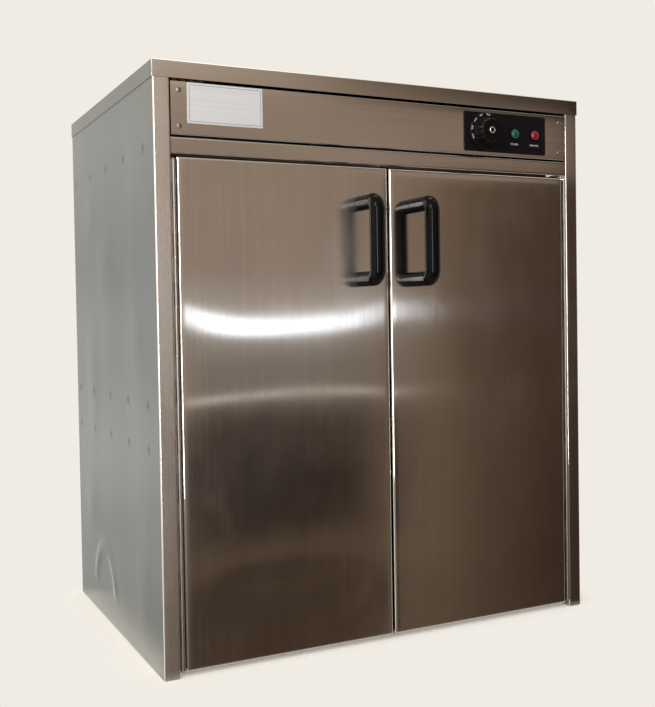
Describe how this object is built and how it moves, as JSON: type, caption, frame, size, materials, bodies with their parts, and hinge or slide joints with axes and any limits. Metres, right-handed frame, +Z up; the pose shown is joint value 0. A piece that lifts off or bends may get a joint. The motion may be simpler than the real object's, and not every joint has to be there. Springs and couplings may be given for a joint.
{
  "type": "blanket warming cabinet",
  "caption": "Free-standing steel warming cabinet with flush double doors on continuous hinges, bridge handles, a dial thermostat, pilot lamps and a heated, insulated chamber with wire shelves.",
  "frame": {"origin": "middle of the base, on the floor plane", "axes": "+Z up; the doors and controls face -Y; +X is to the right seen from the front"},
  "size_m": [0.775, 0.6224, 0.9],
  "materials": {
    "front_steel": "brushed stainless, satin, warm grey",
    "side_steel": "dull stainless with slight dents and weld marks",
    "liner_steel": "plain stainless sheet",
    "bright_steel": "bright plated",
    "element_steel": "dark oxidised sheath",
    "black_gloss": "glossy black moulding",
    "black_matt": "satin black",
    "label": "pale silver plate, blank",
    "green_lens": "clear green moulding",
    "red_lens": "clear red moulding",
    "cream_plastic": "moulded, cream",
    "mineral_wool": "pressed fibre slab",
    "copper": "bare copper tube"
  },
  "bodies": {
    "cabinet": {"top_panel": "front_steel", "left_side_panel": "side_steel", "right_side_panel": "side_steel", "back_panel": "side_steel", "base_tray": "side_steel", "front_rail": "front_steel", "control_fascia": "front_steel", "fascia_screw_left_upper": "bright_steel", "fascia_screw_left_lower": "bright_steel", "fascia_screw_right_upper": "bright_steel", "fascia_screw_right_lower": "bright_steel", "control_plate": "black_matt", "label_plate": "label", "green_lamp_lens": "green_lens", "green_lamp_body": "cream_plastic", "red_lamp_lens": "red_lens", "red_lamp_body": "cream_plastic", "thermostat_body": "cream_plastic", "sensor_capillary": "copper", "cable_gland": "black_matt", "terminal_block": "cream_plastic", "wiring_loom": "black_matt", "liner_left": "liner_steel", "liner_right": "liner_steel", "liner_floor": "liner_steel", "liner_ceiling": "liner_steel", "liner_back": "liner_steel", "insulation_wrap": "mineral_wool", "insulation_floor": "mineral_wool", "insulation_ceiling": "mineral_wool", "shelf_runner_lower_left": "liner_steel", "shelf_runner_lower_right": "liner_steel", "lower_shelf": "bright_steel", "shelf_runner_upper_left": "liner_steel", "shelf_runner_upper_right": "liner_steel", "upper_shelf": "bright_steel", "heater_guard": "liner_steel", "heating_element": "element_steel", "heater_bracket": "liner_steel", "double_magnet_catch": "black_matt", "left_hinge_frame_leaf": "side_steel", "left_hinge_pin": "side_steel", "right_hinge_frame_leaf": "side_steel", "right_hinge_pin": "side_steel"},
    "left_door": {"left_door_skin": "front_steel", "left_door_inner": "liner_steel", "left_door_insulation": "mineral_wool", "left_handle": "black_gloss", "left_strike_plate": "bright_steel", "left_hinge_door_leaf": "side_steel"},
    "right_door": {"right_door_skin": "front_steel", "right_door_inner": "liner_steel", "right_door_insulation": "mineral_wool", "right_handle": "black_gloss", "right_strike_plate": "bright_steel", "right_hinge_door_leaf": "side_steel"},
    "dial": {"thermostat_knob": "black_gloss", "knob_cap": "bright_steel", "thermostat_spindle": "bright_steel"}
  },
  "joints": [
    {"name": "left_door_hinge", "type": "hinge", "parent": "cabinet", "child": "left_door", "pos_m": [-0.3571, -0.2686, 0.385], "axis": [0, 0, -1], "range_deg": [0, 165]},
    {"name": "right_door_hinge", "type": "hinge", "parent": "cabinet", "child": "right_door", "pos_m": [0.3571, -0.2686, 0.385], "axis": [0, 0, 1], "range_deg": [0, 165]},
    {"name": "dial_turn", "type": "hinge", "parent": "cabinet", "child": "dial", "pos_m": [0.1886, -0.2703, 0.8325], "axis": [0, 1, 0], "range_deg": [0, 150]}
  ]
}
